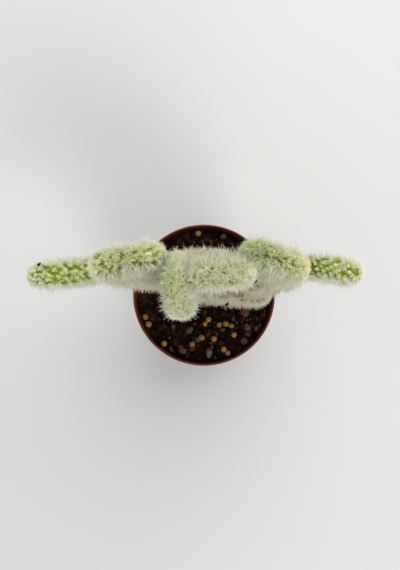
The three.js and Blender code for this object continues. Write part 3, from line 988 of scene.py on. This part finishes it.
def lumps(places, sizes, draw, detail, roughness):
    """The points and faces of uneven lumps of [width, depth, height] at those places, each turned
    at random, and each point's height as a share of its lump's top, up to 1, for painted shade low
    on the lumps. A lump's roughness is how far its skin wanders, as a share of its radius."""
    ball, faces = ball_mesh(detail)
    all_points = []
    all_faces = []
    all_clean = []
    for place, size in zip(places, sizes):
        wander = np.zeros(len(ball))
        for _ in range(LUMP_WAVES):
            way = draw.normal(0, LUMP_WAVE, 3)
            wander += np.sin(ball @ way + draw.uniform(0, 2 * math.pi))
        shape = ball * (1 + roughness * wander / 2)[:, None] * (np.array(size) / 2)
        pitch = Matrix.Rotation(draw.normal(0, LUMP_TILT), 3, "X")
        lean = Matrix.Rotation(draw.normal(0, LUMP_TILT), 3, "Y")
        spin = Matrix.Rotation(draw.uniform(0, 2 * math.pi), 3, "Z")
        shape = shape @ np.array(spin @ (pitch @ lean)).T
        all_faces.append(faces + len(all_points) * len(ball))
        all_points.append(shape + place)
        all_clean.append(shape[:, 2] / shape[:, 2].max())
    return np.concatenate(all_points), np.concatenate(all_faces), np.concatenate(all_clean)


def add_lumps(name, mesh, material, smooth=True, **values):
    """A piece of the soil, from lumps. Each of `values` is a number for each lump."""
    points, faces, clean = mesh
    for key, numbers in values.items():
        values[key] = np.repeat(numbers, len(points) // len(numbers))
    piece = add_mesh(name, points, faces, material, smooth=smooth, **values, clean=clean)
    belongs(piece, "potting_soil", "soil")


def strewn(count, draw, edge):
    """Places on the soil, at least `edge` from its rim."""
    radius = (SOIL_RADIUS - edge) * np.sqrt(draw.uniform(0, 1, count))
    angle = draw.uniform(0, 2 * math.pi, count)
    x, y = radius * np.cos(angle), radius * np.sin(angle)
    return np.stack([x, y, soil_height(x, y)], 1)


def make_crumbs(draw):
    width = CRUMB_WIDTH + CRUMB_GROWTH * draw.uniform(0, 1, CRUMBS) ** 3
    places = strewn(CRUMBS, draw, CRUMB_EDGE)
    places[:, 2] += width * draw.uniform(*CRUMB_RISE, CRUMBS)
    shapes = draw.uniform(*CRUMB_SHAPE, (CRUMBS, 2)) * width[:, None]
    sizes = np.column_stack([width, shapes])
    mesh = lumps(places, sizes, draw, detail=2, roughness=0.22)
    add_lumps("soil_crumbs", mesh, crumb_material(), tone=draw.uniform(0, 1, CRUMBS) ** 1.6)


def make_chips(draw):
    length = draw.uniform(*CHIP_LENGTH, CHIPS)
    places = strewn(CHIPS, draw, CHIP_EDGE)
    places[:, 2] += CHIP_RISE
    width = length * draw.uniform(*CHIP_WIDTH, CHIPS)
    sizes = np.column_stack([length, width, length * CHIP_THICKNESS])
    mesh = lumps(places, sizes, draw, detail=2, roughness=0.25)
    tone = draw.uniform(0.3, 1, CHIPS)
    add_lumps("bark_chips", mesh, crumb_material(), smooth=False, tone=tone)


def make_prills(draw):
    x, y, yellow = np.array(PRILLS).T
    places = np.stack([x, y, soil_height(x, y) + PRILL_RISE], 1)
    sizes = PRILL_WIDTH * draw.uniform(*PRILL_SIZE, (len(x), 3))
    mesh = lumps(places, sizes, draw, detail=3, roughness=0.03)
    add_lumps("fertiliser_prills", mesh, prill_material(), yellow=yellow)


def make_pebbles(draw):
    x, y, width, height, tone = np.array(PEBBLES).T
    places = np.stack([x, y, soil_height(x, y)], 1)
    sizes = np.stack([width, width * PEBBLE_DEPTH, height], 1)
    mesh = lumps(places, sizes, draw, detail=4, roughness=0.10)
    add_lumps("grit", mesh, stone_material(), tone=tone)


def make_caught_crumbs(draw):
    places = []
    sizes = []
    tones = []
    for name, place, angle, height, size, tone in CAUGHT:
        pad = pads[name]
        skin = pad.spot(place, angle)
        places.append(pad.to_part(skin + pad.normal(skin[None])[0] * height))
        sizes.append(size)
        tones.append(tone)
    points, faces, _ = lumps(places, sizes, draw, detail=2, roughness=0.35)
    # no painted shade on the crumbs caught in the hairs
    mesh = points, faces, np.ones(len(points))
    add_lumps("caught_crumbs", mesh, crumb_material(), tone=tones)


def make_floor():
    shader = Shader("floor_white", Roughness=0.6)
    shade = shader.ramp(shader.noise(0.4, 2), 0.3, 0.7)
    shader.colour(shader.mix(shade, (0.578, 0.573, 0.565), (0.592, 0.590, 0.583)))
    profile = [(0, -STAGE_DEPTH), (STAGE_RADIUS, -STAGE_DEPTH), (STAGE_RADIUS, 0), (0, 0)]
    points, faces = lathe(profile, STAGE_SIDES)
    floor = add_mesh("floor", points, faces, shader.material, smooth=False)


def make_light(name, place, width, power, colour):
    light = bpy.data.lights.new(name, "AREA")
    light.shape = "DISK"
    light.size = width
    light.energy = power
    light.color = colour
    lamp = bpy.data.objects.new(name, light)
    lamp.location = place
    way = Vector(LIGHT_AIM) - Vector(place)
    lamp.rotation_euler = way.to_track_quat("-Z", "Y").to_euler()
    bpy.context.scene.collection.objects.link(lamp)


def light_scene():
    world = bpy.data.worlds.new("studio")
    world.use_nodes = True
    background = world.node_tree.nodes["Background"]
    background.inputs["Color"].default_value = SKY_COLOUR
    background.inputs["Strength"].default_value = SKY_STRENGTH
    bpy.context.scene.world = world
    for row in LIGHTS:
        make_light(*row)


def make_camera():
    camera = bpy.data.cameras.new("camera")
    camera.lens = LENS
    camera.sensor_width = SENSOR
    camera.clip_start = 0.01
    camera.clip_end = 20
    holder = bpy.data.objects.new("camera", camera)
    holder.location = CAMERA_PLACE
    holder.rotation_euler = (math.radians(CAMERA_TILT), 0, 0)
    bpy.context.scene.collection.objects.link(holder)
    bpy.context.scene.camera = holder


make_camera()
grow_pads()
for number, pad in enumerate(pads.values()):
    make_skin(pad)
    make_glochids(pad, np.random.default_rng(HAIR_SEED + number))
make_pot()
make_soil()
soil_draw = np.random.default_rng(CRUMB_SEED)
make_crumbs(soil_draw)
make_chips(soil_draw)
grit_draw = np.random.default_rng(GRIT_SEED)
make_prills(grit_draw)
make_pebbles(grit_draw)
make_caught_crumbs(np.random.default_rng(CAUGHT_SEED))
make_floor()
light_scene()
bpy.context.scene.view_settings.view_transform = "Standard"
